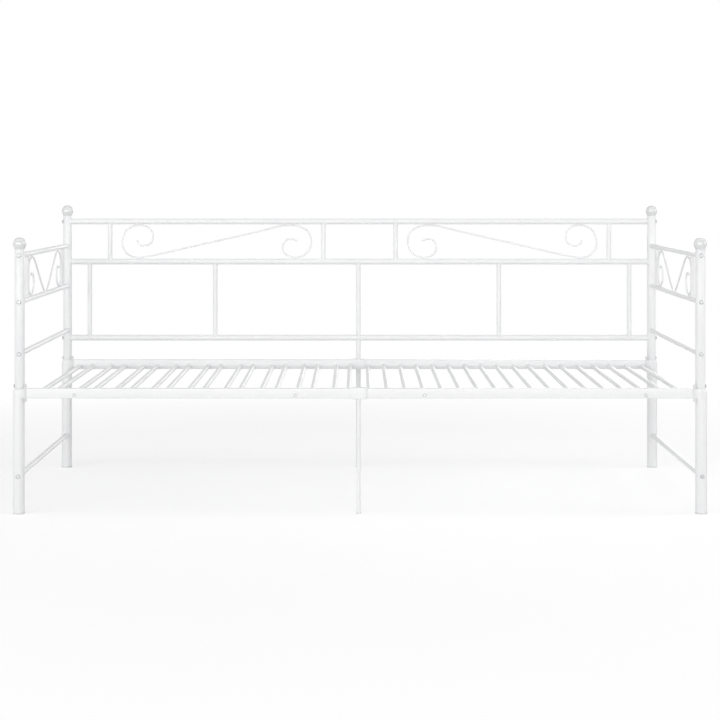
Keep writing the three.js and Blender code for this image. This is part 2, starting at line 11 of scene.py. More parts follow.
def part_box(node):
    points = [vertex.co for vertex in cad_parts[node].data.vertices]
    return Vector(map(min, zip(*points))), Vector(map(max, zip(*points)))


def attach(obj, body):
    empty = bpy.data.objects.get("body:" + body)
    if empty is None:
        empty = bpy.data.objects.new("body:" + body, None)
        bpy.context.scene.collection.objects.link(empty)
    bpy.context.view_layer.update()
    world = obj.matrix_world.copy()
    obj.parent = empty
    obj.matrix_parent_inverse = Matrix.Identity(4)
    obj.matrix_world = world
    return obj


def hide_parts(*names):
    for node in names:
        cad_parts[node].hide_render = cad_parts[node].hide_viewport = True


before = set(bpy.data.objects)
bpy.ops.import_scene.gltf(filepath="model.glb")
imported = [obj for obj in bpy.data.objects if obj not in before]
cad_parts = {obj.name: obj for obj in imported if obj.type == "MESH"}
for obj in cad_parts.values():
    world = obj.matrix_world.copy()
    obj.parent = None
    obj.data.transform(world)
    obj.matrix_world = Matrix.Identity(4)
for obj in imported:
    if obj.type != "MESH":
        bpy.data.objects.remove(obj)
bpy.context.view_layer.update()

X = Vector((1, 0, 0))
Y = Vector((0, 1, 0))
Z = Vector((0, 0, 1))
ENDS = {"left": -1, "right": 1}
SIDES = {"front": -1, "back": 1}

# Fits and edges
FIT_GAP = 0.0003
SAME_PLACE = 0.00001
OVERRUN = 0.002
FACING_COSINE = 0.99
TUBE_FACETS = 40
SMOOTH_ANGLE = math.radians(35)
CUT_EDGE = 0.00025
EDGE_STEPS = 2
EDGE_ANGLE = math.radians(40)
STEEP_EDGE_ANGLE = math.radians(60)
CORNER_STEPS = 5

# Tubes
POST_WALL = 0.0012
RAIL_WALL = 0.001
SPIGOT_STEP = 0.0015
NECK_HEIGHT = 0.008
NECK_ROUNDING = 0.0009
NECK_STEPS = 3
SPINDLES_PER_ROW = 4

# Mouldings
FOOT_HEIGHT = 0.0045
FOOT_ROUNDING = 0.0012
CENTRE_CAP_HEIGHT = 0.004
CENTRE_CAP_ROUNDING = 0.0007
CAP_STEPS = 4
BALL_SKIRT = 0.004
BALL_FACETS = 56
BALL_RINGS = 36
BALL_GROOVE = 0.0005

# Scroll rods
ROD_SMOOTHING = 2
HEXAGON_LOSS_SHARE = 1 / 6
ROD_RADIUS = 0.003
TACK_LENGTH = 0.0052
TACK_WIDTH = 0.0021
TACK_FACETS = 20
TACK_RINGS = 10

# Bed rails and saddles
RAIL_HEIGHT = 0.030
RAIL_DEPTH = 0.020
RAIL_TUBE_WALL = 0.0012
RAIL_CORNER = 0.0025
NOSE_LENGTH = 0.0046
NOSE_DEPTH = 0.012
NOSE_HEIGHT = 0.025
SADDLE_THICKNESS = 0.0051
SADDLE_OVERHANG = 0.012
SADDLE_ROUNDING = 0.003
SADDLE_REACH = 0.0031
SADDLE_FACETS = 72
SADDLE_EDGE = 0.0006
SADDLE_EDGE_STEPS = 3
SADDLE_EDGE_ANGLE = math.radians(50)
FLANGE_SETBACK = 0.0175
FLANGE_GAP = 0.0018

# Joint in the middle
SLEEVE_WALL = 0.0022
SLEEVE_SEAM = 0.0045
SLEEVE_CORNER = 0.0035
SPIGOT_REACH = 0.020
SPIGOT_WALL = 0.002

# Slat grids
SLATS_PER_GRID = 18
SLAT_RADIUS = 0.0075
SLAT_WALL = 0.0009
SLAT_FACETS = 28
SLAT_DROP = 0.023
BAR_THICKNESS = 0.004
BAR_EDGE = 0.0005
BAR_EDGE_STEPS = 3
GRID_OUTER_INSET = 0.0305
PAIR_GAP = 0.046
LEFT_OUTER_INSET = 0.016
LEFT_INNER_INSET = 0.00655
RIGHT_OUTER_INSET = 0.0101
RIGHT_INNER_INSET = 0.00945

# Weld beads
BEAD_RADIUS = 0.0014
UPRIGHT_BEAD_RADIUS = 0.00126
SLAT_BEAD_RADIUS = 0.0009
BEAD_FACETS = 36
NOSE_BEAD_FACETS = 72
BEAD_SECTION = 8
BEAD_WAVES = 11
BEAD_WAVE_SHARE = 0.16

# Fasteners
BOLT_HEAD_RADIUS = 0.0064
BOLT_HEAD_HEIGHT = 0.0033
BOLT_DOME = 0.0024
BOLT_FACETS = 32
DOME_STEPS = 6
BOLT_EDGE = 0.00025
BOLT_EDGE_ANGLE = math.radians(50)
SOCKET_SIDES = 6
SOCKET_RADIUS = 0.0032
SOCKET_DEPTH_SHARE = 0.72
SHANK_RADIUS = 0.0026
SHANK_LENGTH = 0.016
END_LENGTH = 0.008
END_RISE = 0.0004
GRUB_SOCKET_RADIUS = 0.0016
GRUB_SOCKET_DEPTH = 0.0026
CORNER_HEAD_RADIUS = 0.0055
UPPER_CORNER_BOLT = 0.0055
LOWER_CORNER_BOLT = 0.006
GRID_BOLT_RISE = 0.0025
GRID_BOLT_OUTER_INSET = 0.136
GRID_BOLT_INNER_X = 0.194
GRID_HEAD_RADIUS = 0.0052
LOW_HEAD_HEIGHT = 0.0022
LOW_HEAD_DOME = 0.0016

# Surface detail
DRIFT_DETAIL = 3.0
GRAIN_DETAIL = 2.0
PEBBLE_SCALE_SHARE = 0.45
MIDDLE_SHARE = 0.5
TONE_SHARES = (0.35, 0.65)

# Studio light and floor
WHITE = (1, 1, 1, 1)
PLAIN_WHITE = 1.0
FILL_LEVEL = 0.42
FILL_SLOPE = -0.06
FLOOR_SIZE = 60
PAPER_LIFT = 0.32
PAPER_FADE = (1.6, 3.0)

# Camera, from the photograph's perspective
IMAGE_PIXELS = 720
SENSOR_WIDTH = 36
FOCAL_PIXELS = 1865
VANISHING_PIXEL = (356.5, 187.3)
CAMERA_PLACE = (-0.0105, -6.065, 0.98)


# Selecting and editing

def only(piece):
    bpy.ops.object.select_all(action="DESELECT")
    piece.select_set(True)
    bpy.context.view_layer.objects.active = piece


def named(name):
    """The primitive that was just added, under its name and with its place in its mesh."""
    piece = bpy.context.object
    piece.name = name
    piece.data.name = name
    bpy.ops.object.transform_apply(location=True, rotation=True, scale=True)
    return piece


@contextmanager
def editing(piece):
    only(piece)
    bpy.ops.object.mode_set(mode="EDIT")
    yield
    bpy.ops.object.mode_set(mode="OBJECT")


def clear_picks(piece):
    for parts in (piece.data.vertices, piece.data.edges, piece.data.polygons):
        parts.foreach_set("select", [False] * len(parts))


def pick_faces(piece, wanted):
    """Selects the faces whose middle and normal pass the test."""
    bpy.context.tool_settings.mesh_select_mode = (False, False, True)
    clear_picks(piece)
    for face in piece.data.polygons:
        face.select = wanted(face.center, face.normal)


def pick_edges(piece, wanted):
    """Selects the edges whose two ends both pass the test."""
    bpy.context.tool_settings.mesh_select_mode = (False, True, False)
    clear_picks(piece)
    places = [vertex.co for vertex in piece.data.vertices]
    for edge in piece.data.edges:
        edge.select = all(wanted(places[i]) for i in edge.vertices)


def pick_runs(piece, wanted):
    """Selects the edges whose direction passes the test."""
    bpy.context.tool_settings.mesh_select_mode = (False, True, False)
    clear_picks(piece)
    places = [vertex.co for vertex in piece.data.vertices]
    for edge in piece.data.edges:
        first, last = edge.vertices
        edge.select = wanted((places[last] - places[first]).normalized())


def extrude(x, y, z):
    """Draws the selected faces out, in edit mode."""
    bpy.ops.mesh.extrude_region_move(TRANSFORM_OT_translate={"value": (x, y, z)})


def round_picked(piece, radius, steps):
    """Rounds the selected edges."""
    with editing(piece):
        bpy.ops.mesh.bevel(offset=radius, segments=steps, affect="EDGES")


def finish_with(piece, kind, **settings):
    """Adds a modifier and applies it."""
    only(piece)
    bpy.ops.object.modifier_add(type=kind)
    modifier = piece.modifiers[-1]
    for setting, value in settings.items():
        setattr(modifier, setting, value)
    bpy.ops.object.modifier_apply(modifier=modifier.name)


def round_edges(piece, width, steps=EDGE_STEPS, angle=EDGE_ANGLE):
    """Rounds every edge that is sharper than an angle."""
    finish_with(piece, "BEVEL", width=width, segments=steps, limit_method="ANGLE", angle_limit=angle)


def cut_by(piece, cutter):
    finish_with(piece, "BOOLEAN", operation="DIFFERENCE", solver="EXACT", object=cutter)
    bpy.data.objects.remove(cutter)


def smooth(piece):
    only(piece)
    bpy.ops.object.shade_smooth_by_angle(angle=SMOOTH_ANGLE)


# Places in the frame

def middle(node):
    low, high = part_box(node)
    return (low + high) / 2


def half(node):
    low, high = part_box(node)
    return (high - low) / 2


def at_height(place, z):
    return Vector((place.x, place.y, z))


class Bar:
    """A round bar of the frame: a point on its axis, its direction and its radius."""

    def __init__(self, node, axis):
        across = X if axis == Z else Z.cross(axis)
        self.centre = middle(node)
        self.axis = axis
        self.radius = abs(half(node).dot(across))

    def crest(self, place, up):
        """The point of the bar's surface that faces up, level with a place beside it."""
        along = self.axis * (place - self.centre).dot(self.axis)
        return self.centre + along + up * self.radius


# Shapes

def cylinder(name, start, end, radius, facets=TUBE_FACETS):
    run = end - start
    bpy.ops.object.select_all(action="DESELECT")
    turn = run.to_track_quat("Z", "Y").to_euler()
    place = (start + end) / 2
    bpy.ops.mesh.primitive_cylinder_add(
        vertices=facets, radius=radius, depth=run.length, location=place, rotation=turn
    )
    return named(name)


def hollow(piece, along, wall):
    """Opens a bore from one flat end to the other."""
    reaches = [vertex.co.dot(along) for vertex in piece.data.vertices]
    ends = (min(reaches), max(reaches))
    pick_faces(piece, lambda place, normal: min(abs(place.dot(along) - end) for end in ends) < SAME_PLACE)
    with editing(piece):
        bpy.ops.mesh.inset(thickness=wall)
        bpy.ops.mesh.bridge_edge_loops()
    return piece


def tube(name, start, end, radius, wall, facets=TUBE_FACETS):
    piece = cylinder(name, start, end, radius, facets)
    return hollow(piece, (end - start).normalized(), wall)


def cope(piece, towards, bar):
    """Fits the end of a tube to the round bar that it meets."""
    across = towards.cross(bar.axis)
    reach = bar.radius + FIT_GAP
    vertices = piece.data.vertices
    end = max(vertex.co.dot(towards) for vertex in vertices)
    for vertex in vertices:
        if end - vertex.co.dot(towards) > SAME_PLACE:
            continue
        offset = vertex.co - bar.centre
        depth = math.sqrt(reach**2 - offset.dot(across) ** 2)
        vertex.co -= towards * (depth + offset.dot(towards))


def coped_tube(node, along, radius, wall, first, last):
    """A tube between two round bars, fitted to both."""
    centre = middle(node)
    start = centre + along * (first.centre - centre).dot(along) + along * first.radius
    stop = centre + along * (last.centre - centre).dot(along) - along * last.radius
    piece = tube(f"{node}_tube", start, stop, radius, wall)
    cope(piece, -along, first)
    cope(piece, along, last)
    return piece


def box(name, low, high):
    bpy.ops.object.select_all(action="DESELECT")
    size = high - low
    bpy.ops.mesh.primitive_cube_add(size=1, location=(low + high) / 2, scale=size)
    return named(name)


def round_long_edges(piece, along, radius):
    """Rounds the four edges of a box that run along it."""
    pick_runs(piece, lambda run: abs(run.dot(along)) > FACING_COSINE)
    round_picked(piece, radius, CORNER_STEPS)


def box_tube(name, low, high, corner, wall):
    piece = box(name, low, high)
    round_long_edges(piece, X, corner)
    hollow(piece, X, wall)
    round_edges(piece, CUT_EDGE, angle=STEEP_EDGE_ANGLE)
    return piece


def placed_copy(model, name, place, up, along):
    """A copy of a shape modelled at the origin, its +Z turned up and its +X turned along."""
    piece = model.copy()
    piece.data = model.data.copy()
    piece.name = name
    piece.data.name = name
    bpy.context.scene.collection.objects.link(piece)
    turn = Matrix((along, up.cross(along), up)).transposed().to_4x4()
    piece.data.transform(Matrix.Translation(place) @ turn)
    return piece


def joined(pieces, name):
    bpy.ops.object.select_all(action="DESELECT")
    for piece in pieces:
        piece.select_set(True)
    bpy.context.view_layer.objects.active = pieces[0]
    bpy.ops.object.join()
    pieces[0].name = name
    pieces[0].data.name = name
    return pieces[0]


# Shader nodes

def add_node(tree, kind, inputs=None, **settings):
    """A node whose inputs are linked to sockets or set to values."""
    made = tree.nodes.new(kind)
    for setting, value in settings.items():
        setattr(made, setting, value)
    for key, value in (inputs or {}).items():
        if isinstance(value, bpy.types.NodeSocket):
            tree.links.new(value, made.inputs[key])
        else:
            made.inputs[key].default_value = value
    return made


def math_node(tree, operation, first, second):
    return add_node(tree, "ShaderNodeMath", {0: first, 1: second}, operation=operation).outputs[0]


def surface_skin_group():
    """Slow drift of tone, fine grain and pebbling, as a mask, a shine and a height."""
    group = bpy.data.node_groups.new("surface_skin", "ShaderNodeTree")
    group.interface.new_socket("Place", in_out="INPUT", socket_type="NodeSocketVector")
    for socket in ("Grain Scale", "Drift Scale", "Shine", "Shine Range"):
        group.interface.new_socket(socket, in_out="INPUT", socket_type="NodeSocketFloat")
    for socket in ("Drift", "Roughness", "Height"):
        group.interface.new_socket(socket, in_out="OUTPUT", socket_type="NodeSocketFloat")
    given = group.nodes.new("NodeGroupInput").outputs
    drift_inputs = {"Vector": given["Place"], "Scale": given["Drift Scale"], "Detail": DRIFT_DETAIL}
    drift = add_node(group, "ShaderNodeTexNoise", drift_inputs).outputs["Fac"]
    grain_inputs = {"Vector": given["Place"], "Scale": given["Grain Scale"], "Detail": GRAIN_DETAIL}
    grain = add_node(group, "ShaderNodeTexNoise", grain_inputs).outputs["Fac"]
    pebble_scale = math_node(group, "MULTIPLY", given["Grain Scale"], PEBBLE_SCALE_SHARE)
    pebble_inputs = {"Vector": given["Place"], "Scale": pebble_scale}
    pebbles = add_node(group, "ShaderNodeTexVoronoi", pebble_inputs, feature="SMOOTH_F1").outputs["Distance"]
    drift_swing = math_node(group, "SUBTRACT", drift, MIDDLE_SHARE)
    grain_swing = math_node(group, "SUBTRACT", grain, MIDDLE_SHARE)
    both = math_node(group, "ADD", drift_swing, grain_swing)
    swing = math_node(group, "MULTIPLY", both, given["Shine Range"])
    results = {
        "Drift": drift,
        "Roughness": math_node(group, "ADD", given["Shine"], swing),
        "Height": math_node(group, "ADD", grain, pebbles),
    }
    add_node(group, "NodeGroupOutput", results)
    return group


SURFACE_SKIN = surface_skin_group()


def finish(name, tones, grain_scale, drift_scale, shine, shine_range, relief, **constants):
    """A material whose colour drifts between two tones, with a pebbled surface."""
    material = bpy.data.materials.new(name)
    material.use_nodes = True
    tree = material.node_tree
    tree.nodes.clear()
    skin_inputs = {
        "Place": add_node(tree, "ShaderNodeTexCoord").outputs["Object"],
        "Grain Scale": grain_scale,
        "Drift Scale": drift_scale,
        "Shine": shine,
        "Shine Range": shine_range,
    }
    skin = add_node(tree, "ShaderNodeGroup", skin_inputs, node_tree=SURFACE_SKIN).outputs
    ramp = add_node(tree, "ShaderNodeValToRGB", {"Fac": skin["Drift"]})
    for element, share, tone in zip(ramp.color_ramp.elements, TONE_SHARES, tones):
        element.position = share
        element.color = (*tone, 1)
    bump = add_node(tree, "ShaderNodeBump", {"Strength": 1.0, "Distance": relief, "Height": skin["Height"]})
    shader_inputs = {
        "Base Color": ramp.outputs["Color"],
        "Roughness": skin["Roughness"],
        "Normal": bump.outputs["Normal"],
    }
    shader = add_node(tree, "ShaderNodeBsdfPrincipled", shader_inputs)
    for socket, value in constants.items():
        shader.inputs[socket.replace("_", " ")].default_value = value
    add_node(tree, "ShaderNodeOutputMaterial", {"Surface": shader.outputs["BSDF"]})
    return material


# Finishes

def powder_coat():
    """The frame's white paint, satin with a fine orange peel."""
    return finish(
        "powder_coat",
        tones=((0.86, 0.865, 0.872), (0.885, 0.888, 0.892)),
        grain_scale=520,
        drift_scale=7,
        shine=0.34,
        shine_range=0.07,
        relief=0.00003,
    )


def weld_coat():
    """The same paint over a weld, coarser and a little darker in patches."""
    return finish(
        "powder_coat_on_weld",
        tones=((0.82, 0.823, 0.83), (0.875, 0.878, 0.882)),
        grain_scale=900,
        drift_scale=240,
        shine=0.36,
        shine_range=0.12,
        relief=0.00012,
    )


def gloss_moulding():
    """The glossy white plastic of the finials."""
    return finish(
        "gloss_moulding",
        tones=((0.72, 0.723, 0.725), (0.74, 0.742, 0.742)),
        grain_scale=260,
        drift_scale=14,
        shine=0.12,
        shine_range=0.04,
        relief=0.000004,
        Coat_Weight=1.0,
        Coat_Roughness=0.04,
        Coat_IOR=1.7,
    )


def matt_moulding():
    """The dull off-white plastic of the feet."""
    return finish(
        "matt_moulding",
        tones=((0.74, 0.745, 0.745), (0.79, 0.792, 0.79)),
        grain_scale=1400,
        drift_scale=40,
        shine=0.55,
        shine_range=0.12,
        relief=0.00004,
    )


def zinc_plate():
    """The grey plating of the fasteners."""
    return finish(
        "zinc_plate",
        tones=((0.43, 0.44, 0.46), (0.52, 0.52, 0.51)),
        grain_scale=1600,
        drift_scale=160,
        shine=0.28,
        shine_range=0.15,
        relief=0.00002,
        Metallic=1.0,
    )


WELD_COAT = weld_coat()
FINISHES = {
    "white_paint": powder_coat(),
    "finial_plastic": gloss_moulding(),
    "foot_plastic": matt_moulding(),
    "zinc": zinc_plate(),
}


def deliver(piece, slot, *nodes, material=None):
    """Gives a finished piece its material and its body, and hides the frame nodes that it stands for."""
    smooth(piece)
    piece.data.materials.clear()
    piece.data.materials.append(material or FINISHES[slot])
    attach(piece, "root")
    if nodes:
        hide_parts(*nodes)


# Weld beads, modelled at the origin

def ripple(around):
    """How far a bead swells at an angle round it."""
    return 1 + BEAD_WAVE_SHARE * math.sin(around * BEAD_WAVES)


def bead_model(name, tube_radius, bead_radius, bar_radius=None):
    """A rippled bead round the foot of a tube that stands on +Z, on a bar along X or on a flat."""
    bpy.ops.object.select_all(action="DESELECT")
    bpy.ops.mesh.primitive_torus_add(
        major_radius=tube_radius,
        minor_radius=bead_radius,
        major_segments=BEAD_FACETS,
        minor_segments=BEAD_SECTION,
    )
    piece = named(name)
    for vertex in piece.data.vertices:
        around = math.atan2(vertex.co.y, vertex.co.x)
        line = Vector((math.cos(around), math.sin(around), 0)) * tube_radius
        vertex.co = line + (vertex.co - line) * ripple(around)
        if bar_radius:
            vertex.co.z -= bar_radius - math.sqrt(bar_radius**2 - vertex.co.y**2)
    return piece


def nose_bead_model():
    """The bead round the rail's tapered end."""
    bpy.ops.object.select_all(action="DESELECT")
    bpy.ops.mesh.primitive_torus_add(
        major_radius=1,
        minor_radius=BEAD_RADIUS,
        major_segments=NOSE_BEAD_FACETS,
        minor_segments=BEAD_SECTION,
    )
    piece = named("nose_bead_model")
    half_x = NOSE_HEIGHT / 2
    half_y = NOSE_DEPTH / 2
    flat_x = half_x - RAIL_CORNER / 2
    for vertex in piece.data.vertices:
        around = math.atan2(vertex.co.y, vertex.co.x)
        out = math.hypot(vertex.co.x, vertex.co.y) - 1
        unit = Vector((math.cos(around), math.sin(around), 0))
        squareness = max(abs(unit.x) / half_x, abs(unit.y) / half_y)
        line = unit / squareness
        if abs(line.y) > half_y - RAIL_CORNER:
            line.x = max(-flat_x, min(flat_x, line.x))
        swell = ripple(around)
        vertex.co = line + unit * (out * swell) + Z * (vertex.co.z * swell)
    return piece


def tack_model():
    """A short weld where a rod touches a rail side by side, its length along X."""
    bpy.ops.object.select_all(action="DESELECT")
    bpy.ops.mesh.primitive_uv_sphere_add(segments=TACK_FACETS, ring_count=TACK_RINGS, radius=TACK_WIDTH)
    piece = named("tack_model")
    for vertex in piece.data.vertices:
        swell = 1 + BEAD_WAVE_SHARE * math.cos(vertex.co.x / TACK_WIDTH * BEAD_WAVES)
        vertex.co.x *= TACK_LENGTH / TACK_WIDTH
        vertex.co.z *= swell
        vertex.co.y *= swell
    return piece


def weld_models():
    rail_radius = Bar("back_top_rail", X).radius
    post_radius = Bar("post_back_left", Z).radius
    end_rail_radius = Bar("end_top_rail_left", Y).radius
    spindle_radius = half("back_short_spindle_1").x
    upright_radius = half("end_upright_left_front").y
    leg_radius = half("centre_leg_front").x
    return {
        "spindle": bead_model("spindle_bead_model", spindle_radius, BEAD_RADIUS, rail_radius),
        "post": bead_model("post_bead_model", rail_radius, BEAD_RADIUS, post_radius),
        "upright": bead_model("upright_bead_model", upright_radius, UPRIGHT_BEAD_RADIUS, end_rail_radius),
        "flat": bead_model("flat_bead_model", spindle_radius, BEAD_RADIUS),
        "front_leg": bead_model("front_leg_bead_model", leg_radius, BEAD_RADIUS),
        "slat": bead_model("slat_bead_model", SLAT_RADIUS, SLAT_BEAD_RADIUS),
        "nose": nose_bead_model(),
        "tack": tack_model(),
    }


def deliver_weld(piece):
    deliver(piece, "white_paint", material=WELD_COAT)


def weld(model, name, place, up, along):
    deliver_weld(placed_copy(model, name, place, up, along))


def welded_tube(node, radius, below, above, bead, along):
    """An upright tube between two rails, with a bead of weld at each."""
    deliver(coped_tube(node, Z, radius, RAIL_WALL, below, above), "white_paint", node)
    for name, rail, up in (("foot", below, Z), ("head", above, -Z)):
        weld(bead, f"{node}_{name}_weld", rail.crest(middle(node), up), up, along)


# Corner posts, legs and their mouldings

def corner_post(corner):
    """A tube with a narrower spigot below it, which stands inside the leg."""
    node = f"post_{corner}"
    low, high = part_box(node)
    centre = middle(node)
    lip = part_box(f"leg_{corner}")[1].z + FIT_GAP
    piece = cylinder(f"{node}_tube", at_height(centre, lip), at_height(centre, high.z), half(node).x)
    pick_faces(piece, lambda place, normal: normal.z < -FACING_COSINE)
    with editing(piece):
        bpy.ops.mesh.inset(thickness=SPIGOT_STEP)
        extrude(0, 0, low.z - lip)
    hollow(piece, Z, POST_WALL)
    round_edges(piece, CUT_EDGE)
    deliver(piece, "white_paint", node)


def lower_leg(corner):
    """A tube whose top is drawn in to the width of the post on it."""
    node = f"leg_{corner}"
    low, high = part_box(node)
    centre = middle(node)
    post = middle(f"post_{corner}")
    neck_z = high.z - NECK_HEIGHT
    piece = cylinder(f"{node}_tube", at_height(centre, low.z), at_height(centre, neck_z), half(node).x)
    pick_faces(piece, lambda place, normal: normal.z > FACING_COSINE)
    share = half(f"post_{corner}").x / half(node).x
    with editing(piece):
        extrude(post.x - centre.x, 0, NECK_HEIGHT)
        bpy.ops.transform.resize(value=(share, share, 1), center_override=(post.x, post.y, high.z))
    pick_edges(piece, lambda place: abs(place.z - neck_z) < SAME_PLACE)
    round_picked(piece, NECK_ROUNDING, NECK_STEPS)
    hollow(piece, Z, POST_WALL)
    round_edges(piece, CUT_EDGE)
    deliver(piece, "white_paint", node)


def tube_cap(node, height, rounding):
    """A moulded foot: a flange with a rounded rim, and the plug inside the tube."""
    low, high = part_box(node)
    foot = at_height(middle(node), low.z)
    piece = cylinder(f"{node}_moulding", foot, foot + Z * height, half(node).x)
    pick_faces(piece, lambda place, normal: normal.z > FACING_COSINE)
    with editing(piece):
        bpy.ops.mesh.inset(thickness=rounding * 2)
        extrude(0, 0, high.z - low.z - height)
    pick_edges(piece, lambda place: place.z < low.z + SAME_PLACE)
    round_picked(piece, rounding, CAP_STEPS)
    deliver(piece, "foot_plastic", node)


def ball_finial(corner):
    """A ball cut flat below, with a slightly narrower skirt and a plug inside the post."""
    node = f"finial_{corner}"
    low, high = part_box(node)
    centre = middle(node)
    radius = half(node).x
    post_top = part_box(f"post_{corner}")[1].z
    ball = at_height(centre, high.z - radius)
    cut = at_height(centre, post_top + BALL_SKIRT)
    skirt_radius = math.sqrt(radius**2 - (ball.z - cut.z) ** 2) - BALL_GROOVE
    plug_radius = half(f"post_{corner}").x - POST_WALL - FIT_GAP
    bpy.ops.object.select_all(action="DESELECT")
    bpy.ops.mesh.primitive_uv_sphere_add(
        segments=BALL_FACETS, ring_count=BALL_RINGS, radius=radius, location=ball
    )
    piece = named(f"{node}_ball")
    with editing(piece):
        bpy.ops.mesh.select_all(action="SELECT")
        bpy.ops.mesh.bisect(plane_co=cut, plane_no=Z, use_fill=True, clear_inner=True)
    pick_faces(piece, lambda place, normal: normal.z < -FACING_COSINE)
    with editing(piece):
        bpy.ops.mesh.inset(thickness=BALL_GROOVE)
        extrude(0, 0, FIT_GAP - BALL_SKIRT)
        bpy.ops.mesh.inset(thickness=skirt_radius - plug_radius)
        extrude(0, 0, low.z - post_top - FIT_GAP)
    round_edges(piece, CUT_EDGE, angle=STEEP_EDGE_ANGLE)
    deliver(piece, "finial_plastic", node)


# Scrolls

def smoothed_rod(node):
    """The bent rod of the frame, rounded."""
    piece = bpy.data.objects.new(f"{node}_rod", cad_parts[node].data.copy())
    bpy.context.scene.collection.objects.link(piece)
    with editing(piece):
        bpy.ops.mesh.select_all(action="SELECT")
        bpy.ops.mesh.remove_doubles(threshold=SAME_PLACE)
        bpy.ops.mesh.tris_convert_to_quads()
    finish_with(piece, "SUBSURF", levels=ROD_SMOOTHING, render_levels=ROD_SMOOTHING)
    with editing(piece):
        bpy.ops.mesh.select_all(action="SELECT")
        bpy.ops.transform.shrink_fatten(value=ROD_RADIUS * HEXAGON_LOSS_SHARE)
    deliver(piece, "white_paint", node)


def tack_welds(node, along, tack):
    """Short welds where a scroll touches the rail above and the rail below."""
    low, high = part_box(node)
    centre = middle(node)
    places = [vertex.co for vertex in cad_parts[node].data.vertices]
    welds = []
    for limit, up in ((high.z, Z), (low.z, -Z)):
        touching = [place for place in places if abs(place.z - limit) < TACK_WIDTH / 2]
        for half_sign in (-1, 1):
            near = [place for place in touching if (place - centre).dot(along) * half_sign > 0]
            if near:
                best = max(near, key=lambda place: place.dot(up))
                spot = at_height(centre, limit) + along * (best - centre).dot(along)
                welds.append(placed_copy(tack, f"{node}_tack", spot, up, along))
    deliver_weld(joined(welds, f"{node}_tacks"))


def scroll(node, along, tack):
    smoothed_rod(node)
    tack_welds(node, along, tack)


# End panels

def end_rail(end, level):
    node = f"end_{level}_{end}"
    kind = "leg" if level == "stretcher" else "post"
    first = Bar(f"{kind}_front_{end}", Z)
    last = Bar(f"{kind}_back_{end}", Z)
    deliver(coped_tube(node, Y, half(node).x, RAIL_WALL, first, last), "white_paint", node)


def end_panel(end, bead, tack):
    """Four rails from front to back, with an upright and a scroll near each post."""
    for level in ("top_rail", "middle_rail", "lower_rail", "stretcher"):
        end_rail(end, level)
    below = Bar(f"end_middle_rail_{end}", Y)
    above = Bar(f"end_top_rail_{end}", Y)
    for side in SIDES:
        node = f"end_upright_{end}_{side}"
        welded_tube(node, half(node).y, below, above, bead, Y)
        scroll(f"end_scroll_{end}_{side}", Y, tack)


# Back panel

def back_rail(level, posts):
    node = f"back_{level}_rail"
    rail = Bar(node, X)
    deliver(coped_tube(node, X, rail.radius, POST_WALL, *posts), "white_paint", node)
    return rail


def centre_upright_foot(rail, head_bead, foot_bead):
    """The centre upright's lower length, from the sleeve to the lower rail."""
    node = "back_centre_upright_lower"
    centre = middle(node)
    foot = at_height(centre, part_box(node)[0].z)
    head = at_height(centre, rail.centre.z - rail.radius)
    piece = tube(f"{node}_tube", foot, head, half(node).x, RAIL_WALL)
    cope(piece, Z, rail)
    deliver(piece, "white_paint", node)
    weld(head_bead, f"{node}_head_weld", rail.crest(centre, -Z), -Z, X)
    weld(foot_bead, f"{node}_foot_weld", foot, Z, X)


def back_panel(welds):
    """Three rails between the posts, with spindles and a pair of scrolls between the rails."""
    posts = [Bar(f"post_back_{end}", Z) for end in ENDS]
    rails = {level: back_rail(level, posts) for level in ("top", "middle", "lower")}
    for post, (end, sign) in zip(posts, ENDS.items()):
        inwards = X * -sign
        spot = post.crest(rails["middle"].centre, inwards)
        weld(welds["post"], f"back_middle_rail_weld_{end}", spot, inwards, Z)
    numbers = range(1, SPINDLES_PER_ROW + 1)
    spans = [(f"back_short_spindle_{i}", "middle", "top") for i in numbers]
    spans += [(f"back_long_spindle_{i}", "lower", "middle") for i in numbers]
    spans.append(("back_centre_upright_upper", "lower", "middle"))
    for node, below, above in spans:
        welded_tube(node, half(node).x, rails[below], rails[above], welds["spindle"], X)
    centre_upright_foot(rails["lower"], welds["spindle"], welds["flat"])
    for end in ENDS:
        scroll(f"back_scroll_{end}", X, welds["tack"])


# Bed rails and saddles

def cut_back_flange(piece, leg, sign, start, stop):
    """Frees a saddle's flange from the leg and sets its edge back, between two heights."""
    inner = leg.radius + FIT_GAP
    outer = inner + SADDLE_THICKNESS
    foot = at_height(leg.centre, start)
    head = at_height(leg.centre, stop)
    cut_by(piece, cylinder("flange_relief", foot, head, inner + FLANGE_GAP, SADDLE_FACETS))
    sides = (leg.centre.x - sign * FLANGE_SETBACK, leg.centre.x + sign * outer)
    low = Vector((min(sides), leg.centre.y - outer - OVERRUN, start))
    high = Vector((max(sides), leg.centre.y + outer + OVERRUN, stop))
    cut_by(piece, box("flange_cut", low, high))


